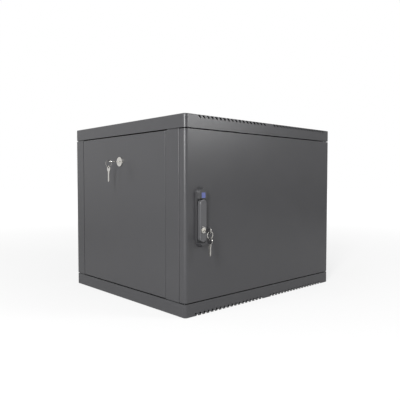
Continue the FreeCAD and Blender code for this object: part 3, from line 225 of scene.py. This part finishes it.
def nickel_plated_brass():
    """Nickel plate over a tumbled brass blank: a smooth bright metal with soft handling marks."""
    tints = bpy.context.scene.cabinet_colours
    material, tree, shader, place = start_material("nickel_plated_brass", {"Metallic": 1.0})
    mottle(tree, shader, place, tints.nickel, grain=3 * MM, spread=0.05, roughness=(0.16, 0.28))
    return material


def moulded_nylon():
    """Glass-filled black nylon from a spark-eroded tool: dark, with a fine satin texture."""
    tints, sizes = bpy.context.scene.cabinet_colours, bpy.context.scene.cabinet_sizes
    material, tree, shader, place = start_material("moulded_black_nylon", {"IOR": 1.53})
    mottle(tree, shader, place, tints.moulding, grain=20 * MM, spread=0.06, roughness=(0.36, 0.44))
    grain_bump(tree, shader, place, sizes.moulded_grain, depth=0.010 * MM)
    return material


def lever_nylon_tint_and_painted_highlight():
    """Charcoal nylon, rubbed smooth by the hand: smoother than the base, and paler, partly in a tone of its
    own and partly as a painted highlight so that its edges catch light.
    """
    tints, sizes = bpy.context.scene.cabinet_colours, bpy.context.scene.cabinet_sizes
    material, tree, shader, place = start_material("charcoal_nylon_tint_and_painted_highlight", {"IOR": 1.53})
    mottle(tree, shader, place, tints.lever, grain=20 * MM, spread=0.06, roughness=(0.28, 0.36))
    grain_bump(tree, shader, place, sizes.moulded_grain, depth=0.006 * MM)
    return material


def soft_key_plastic():
    """Soft PVC over a key's bow: nearly black, with a dull sheen."""
    tints = bpy.context.scene.cabinet_colours
    material, tree, shader, place = start_material("black_pvc", {"IOR": 1.5})
    mottle(tree, shader, place, tints.key_head, grain=6 * MM, spread=0.08, roughness=(0.45, 0.55))
    return material


def blue_inlay():
    """A satin polycarbonate plate, printed plain blue from behind."""
    tints = bpy.context.scene.cabinet_colours
    material, tree, shader, place = start_material("blue_polycarbonate", {"IOR": 1.58, "Coat Weight": 0.3})
    mottle(tree, shader, place, tints.inlay, grain=4 * MM, spread=0.04, roughness=(0.26, 0.32))
    return material


def natural_nylon():
    """Unfilled moulded nylon: off-white, with light that soaks in a little."""
    tints = bpy.context.scene.cabinet_colours
    material, tree, shader, place = start_material("natural_nylon", {"IOR": 1.53, "Subsurface Weight": 0.1})
    mottle(tree, shader, place, tints.nylon, grain=5 * MM, spread=0.03, roughness=(0.42, 0.5))
    return material


FINISHES = {
    "powder_coated_steel": powder_coated_steel,
    "zinc_plated_steel": zinc_plated_steel,
    "nickel_plated_brass": nickel_plated_brass,
    "black_plastic": moulded_nylon,
    "lever": lever_nylon_tint_and_painted_highlight,
    "key_head": soft_key_plastic,
    "blue_inlay": blue_inlay,
    "nylon": natural_nylon,
}


MADE = {}


def finish(slot):
    """The material of a finish, made once."""
    if slot not in MADE:
        MADE[slot] = FINISHES[slot]()
    return MADE[slot]


def coat(piece, slot):
    """Give a piece one finish."""
    piece.data.materials.clear()
    piece.data.materials.append(finish(slot))
    return piece


# ------------------------------------------------------------------ helpers

def only(piece):
    """Select one object and make it active, with everything else left out."""
    bpy.ops.object.select_all(action="DESELECT")
    piece.select_set(True)
    bpy.context.view_layer.objects.active = piece
    return piece


def body_of_node(node):
    """The name of the CAD body that a node belongs to."""
    return frame["nodes"][node]["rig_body"]


def slot_of_node(node):
    """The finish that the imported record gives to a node."""
    for part in frame["record"]["subparts"]:
        if part["node"] == node:
            return part["material_slot"]
    raise RuntimeError(f"the record has no sub-part named {node}")


def put(piece, name, body, slot, *nodes):
    """Finish a piece: name, coat, body, slot, and the CAD nodes that it stands for."""
    piece.name = name
    piece.data.name = name
    coat(piece, slot)
    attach(piece, body)
    if nodes:
        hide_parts(*nodes)
    return piece


def weld_copy(node):
    """A copy of a CAD node whose loose triangles are joined and whose flats are whole faces again."""
    source = frame["nodes"][node]
    piece = bpy.data.objects.new(node + "_skin", source.data.copy())
    bpy.context.scene.collection.objects.link(piece)
    only(piece)
    bpy.ops.object.mode_set(mode="EDIT")
    bpy.ops.mesh.select_all(action="SELECT")
    bpy.ops.mesh.remove_doubles(threshold=WELD_GAP)
    bpy.ops.mesh.customdata_custom_splitnormals_clear()
    bpy.ops.mesh.dissolve_limited(angle_limit=math.radians(FLAT_ANGLE))
    bpy.ops.object.mode_set(mode="OBJECT")
    return piece


def soften(piece, radius, segments=2):
    """Round the sharp edges of a piece and shade the rest smooth."""
    only(piece)
    if radius > 0:
        edge = piece.modifiers.new("soft edges", "BEVEL")
        edge.width = radius
        edge.segments = segments
        edge.limit_method = "ANGLE"
        edge.angle_limit = math.radians(SHARP_ANGLE)
        edge.use_clamp_overlap = True
        bpy.ops.object.modifier_apply(modifier=edge.name)
    bpy.ops.object.shade_smooth_by_angle(angle=math.radians(SHARP_ANGLE))
    flat = piece.modifiers.new("flat faces first", "WEIGHTED_NORMAL")
    flat.keep_sharp = True
    flat.weight = 100
    bpy.ops.object.modifier_apply(modifier=flat.name)
    return piece


def dress(node, radius, segments=2):
    """Replace a CAD node by a copy with softened edges and its own finish."""
    piece = soften(weld_copy(node), radius, segments)
    return put(piece, node + "_skin", body_of_node(node), slot_of_node(node), node)


# ---------------------------------------------------------------- operators

class CABINET_OT_covers(bpy.types.Operator):
    """Dress the pressed covers and their cable plates."""

    bl_idname = "cabinet.covers"
    bl_label = "Covers"

    def execute(self, context):
        edge = context.scene.cabinet_sizes.sheet_edge
        for node in ("bottom_cover", "top_cover", "bottom_cable_plate", "top_cable_plate"):
            dress(node, edge)
        return {"FINISHED"}


class CABINET_OT_panels(bpy.types.Operator):
    """Dress the side panels, the rear panel and the door."""

    bl_idname = "cabinet.panels"
    bl_label = "Panels and door"

    def execute(self, context):
        edge = context.scene.cabinet_sizes.sheet_edge
        for node in ("left_side_panel", "right_side_panel", "rear_panel", "door_panel", "door_stiffeners"):
            dress(node, edge)
        return {"FINISHED"}


class CABINET_OT_frame(bpy.types.Operator):
    """Dress the corner posts, the depth brackets and the rack rails."""

    bl_idname = "cabinet.frame"
    bl_label = "Posts, brackets and rails"

    def execute(self, context):
        edge = context.scene.cabinet_sizes.sheet_edge
        for node in frame["nodes"]:
            if node.endswith(("_post", "_bracket", "_rail")):
                dress(node, edge)
        return {"FINISHED"}


class CABINET_OT_handle(bpy.types.Operator):
    """Dress the swing handle, its inlay and its lock."""

    bl_idname = "cabinet.handle"
    bl_label = "Swing handle"

    def execute(self, context):
        sizes = context.scene.cabinet_sizes
        dress("handle_base", sizes.moulded_edge, segments=3)
        # The lever takes the paler nylon, whose paleness is partly a painted highlight.
        coat(dress("handle_lever", LEVER_EDGE_SCALE * sizes.moulded_edge, segments=3), "lever")
        for node in ("handle_inlay", "handle_lock_housing", "handle_lock_plug", "handle_spindle", "latch_cam",
                     "handle_nut", "lever_pin"):
            dress(node, sizes.sheet_edge / 2)
        return {"FINISHED"}


class CABINET_OT_locks(bpy.types.Operator):
    """Dress the cam locks of the side panels and the hinge pins."""

    bl_idname = "cabinet.locks"
    bl_label = "Panel locks and hinges"

    def execute(self, context):
        edge = context.scene.cabinet_sizes.sheet_edge
        for side in ("left", "right"):
            for piece in ("lock_housing", "lock_nut", "lock_plug", "lock_cam"):
                dress(f"{side}_{piece}", edge)
        for node in ("lower_hinge_pin", "upper_hinge_pin", "hinge_bushes"):
            dress(node, edge / 2)
        return {"FINISHED"}


def disc(radius, depth, centre):
    """A round plate whose axis runs along X, with its place in the mesh."""
    bpy.ops.object.select_all(action="DESELECT")
    bpy.ops.mesh.primitive_cylinder_add(vertices=DISC_SIDES, radius=radius, depth=depth, location=centre,
                                        rotation=(0, math.pi / 2, 0))
    piece = bpy.context.active_object
    bpy.ops.object.transform_apply(location=True, rotation=True, scale=True)
    return piece


def key_head(node, away):
    """Mould a soft head over a key's bow, open at the eye; away points from the blade to the bow."""
    sizes = bpy.context.scene.cabinet_sizes
    low, high = (Vector(corner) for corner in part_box(node))
    radius = min(high.y - low.y, high.z - low.z) / 2
    middle = (low + high) / 2
    reach = abs((high - low).dot(away)) / 2 - radius
    centre = middle + away * reach
    head = disc(radius, sizes.key_head_sheet, centre)
    hole = disc(sizes.key_head_eye, 2 * sizes.key_head_sheet, centre + away * sizes.key_eye_offset)
    only(head)
    cutter = head.modifiers.new("eye", "BOOLEAN")
    cutter.operation = "DIFFERENCE"
    cutter.solver = "EXACT"
    cutter.object = hole
    bpy.ops.object.modifier_apply(modifier=cutter.name)
    bpy.data.objects.remove(hole)
    put(soften(head, sizes.key_head_edge, segments=3), node + "_head", body_of_node(node), "key_head")


class CABINET_OT_keys(bpy.types.Operator):
    """Dress the keys and their rings."""

    bl_idname = "cabinet.keys"
    bl_label = "Keys and rings"

    def execute(self, context):
        for node in frame["nodes"]:
            if "key" in node:
                dress(node, KEY_EDGE)
        key_head("handle_key", Vector((0, -1, 0)))
        key_head("handle_spare_key", Vector((0, 0, 1)))
        return {"FINISHED"}


class CABINET_OT_screws(bpy.types.Operator):
    """Dress the screws."""

    bl_idname = "cabinet.screws"
    bl_label = "Screws"

    def execute(self, context):
        for node in frame["nodes"]:
            if node.endswith(("_screw", "_screws")):
                dress(node, SCREW_EDGE)
        return {"FINISHED"}


# -------------------------------------------------------------------- stage

def lamp(name, place, aim, size, power):
    """A soft rectangular studio light aimed at a point."""
    data = bpy.data.lights.new(name, "AREA")
    data.shape = "RECTANGLE"
    data.size, data.size_y = size
    data.energy = power
    light = bpy.data.objects.new(name, data)
    bpy.context.scene.collection.objects.link(light)
    light.location = place
    light.rotation_euler = (Vector(aim) - Vector(place)).to_track_quat("-Z", "Y").to_euler()
    return light


def camera_ray(tree):
    """One where a ray comes straight from the camera, else nought."""
    return add_node(tree, "ShaderNodeLightPath").outputs["Is Camera Ray"]


def studio_floor(paint_colour):
    """A plain pale floor that keeps the object's shadow and is white to the camera further out."""
    bpy.ops.object.select_all(action="DESELECT")
    bpy.ops.mesh.primitive_plane_add(size=FLOOR_SIZE, location=(0, 0, -FLOOR_DROP))
    floor = bpy.context.active_object
    floor.name = "studio_floor"
    material = bpy.data.materials.new("studio_floor")
    material.use_nodes = True
    tree = material.node_tree
    tree.nodes.clear()
    paint = add_node(tree, "ShaderNodeBsdfDiffuse", {"Color": paint_colour})
    glow = add_node(tree, "ShaderNodeEmission", {"Color": WHITE, "Strength": FLOOR_STRENGTH})
    place = add_node(tree, "ShaderNodeTexCoord").outputs["Object"]
    reach = add_node(tree, "ShaderNodeVectorMath", {"operation": "LENGTH"})
    tree.links.new(place, reach.inputs[0])
    limits = {"From Min": FADE_START, "From Max": FADE_END, "To Min": FLOOR_GLOW, "To Max": 1.0}
    fade = add_node(tree, "ShaderNodeMapRange", limits, {"Value": reach.outputs["Value"]})
    share = add_node(tree, "ShaderNodeMath", {"operation": "MULTIPLY"})
    tree.links.new(camera_ray(tree), share.inputs[0])
    tree.links.new(fade.outputs["Result"], share.inputs[1])
    mixed = add_node(tree, "ShaderNodeMixShader", links={"Fac": share.outputs["Value"]})
    tree.links.new(paint.outputs["BSDF"], mixed.inputs[1])
    tree.links.new(glow.outputs["Emission"], mixed.inputs[2])
    add_node(tree, "ShaderNodeOutputMaterial", links={"Surface": mixed.outputs["Shader"]})
    floor.data.materials.append(material)


def studio_sky(scene):
    """A dim even sky that looks white to the camera."""
    world = bpy.data.worlds.new("studio")
    scene.world = world
    world.use_nodes = True
    tree = world.node_tree
    tree.nodes.clear()
    path = add_node(tree, "ShaderNodeLightPath")
    mirrored = add_node(tree, "ShaderNodeMapRange", {"To Min": SKY_LEVEL, "To Max": SKY_IN_METAL},
                        {"Value": path.outputs["Is Glossy Ray"]})
    level = add_node(tree, "ShaderNodeMath", {"operation": "MAXIMUM"})
    tree.links.new(mirrored.outputs["Result"], level.inputs[0])
    tree.links.new(path.outputs["Is Camera Ray"], level.inputs[1])
    sky = add_node(tree, "ShaderNodeBackground", {"Color": WHITE}, {"Strength": level.outputs["Value"]})
    add_node(tree, "ShaderNodeOutputWorld", links={"Surface": sky.outputs["Background"]})


def studio_lamps():
    """Soft boxes in front, at the left, behind and overhead: places in metres, power in watts."""
    lamp("front_softbox", place=(1.3, -2.1, 1.32), aim=(-0.25, -0.26, 0.4), size=(0.7, 1.2), power=26)
    lamp("left_softbox", place=(-2.05, -1.35, 1.15), aim=(-0.3, -0.26, 0.3), size=(0.38, 1.5), power=66)
    lamp("side_softbox", place=(-2.6, 0.0, 1.3), aim=(-0.3, 0.0, 0.3), size=(0.9, 1.6), power=18)
    lamp("rear_left_softbox", place=(-1.6, 1.95, 0.7), aim=(-0.3, 0.0, 0.3), size=(1.6, 1.4), power=3)
    lamp("overhead_softbox", place=(0.0, 0.0, 2.6), aim=(0.0, 0.0, 0.0), size=(2.4, 2.4), power=16)


def studio_camera(scene):
    """The camera, to the front and left of the cabinet at about two thirds of its height."""
    data = bpy.data.cameras.new("camera")
    data.sensor_width = SENSOR_WIDTH
    data.lens = CAMERA_LENS
    camera = bpy.data.objects.new("camera", data)
    scene.collection.objects.link(camera)
    camera.location = CAMERA_PLACE
    camera.rotation_euler = Euler([math.radians(a) for a in (90 + CAMERA_PITCH, 0, -CAMERA_YAW)])
    scene.camera = camera


class CABINET_OT_stage(bpy.types.Operator):
    """Set up the pale floor, the studio light and the camera."""

    bl_idname = "cabinet.stage"
    bl_label = "Stage"

    def execute(self, context):
        scene = context.scene
        scene.view_settings.view_transform = "Standard"
        studio_floor(scene.cabinet_colours.floor)
        studio_sky(scene)
        studio_lamps()
        studio_camera(scene)
        return {"FINISHED"}


# -------------------------------------------------------------------- panel

class CABINET_PT_parts(bpy.types.Panel):
    """The cabinet's pieces, in the order in which they are made."""

    bl_idname = "CABINET_PT_parts"
    bl_label = "Network cabinet"
    bl_space_type = "VIEW_3D"
    bl_region_type = "UI"
    bl_category = "Cabinet"

    def draw(self, context):
        for group in (context.scene.cabinet_sizes, context.scene.cabinet_colours):
            box = self.layout.box()
            for name in type(group).__annotations__:
                box.prop(group, name)
        for operator in OPERATORS:
            self.layout.operator(operator.bl_idname)


OPERATORS = (CABINET_OT_covers, CABINET_OT_panels, CABINET_OT_frame, CABINET_OT_handle, CABINET_OT_locks,
             CABINET_OT_keys, CABINET_OT_screws, CABINET_OT_stage)
CLASSES = (CabinetColours, CabinetSizes, *OPERATORS, CABINET_PT_parts)


def register():
    """Register the classes and the scene's settings."""
    for cls in CLASSES:
        bpy.utils.register_class(cls)
    bpy.types.Scene.cabinet_colours = bpy.props.PointerProperty(type=CabinetColours)
    bpy.types.Scene.cabinet_sizes = bpy.props.PointerProperty(type=CabinetSizes)


def unregister():
    """Take the settings and the classes out again."""
    del bpy.types.Scene.cabinet_sizes
    del bpy.types.Scene.cabinet_colours
    for cls in reversed(CLASSES):
        bpy.utils.unregister_class(cls)


def main():
    """Run every operator in order."""
    register()
    for operator in OPERATORS:
        group, name = operator.bl_idname.split(".")
        if getattr(getattr(bpy.ops, group), name)() != {"FINISHED"}:
            raise RuntimeError(f"{operator.bl_label} did not finish")


if __name__ == "__main__":
    main()
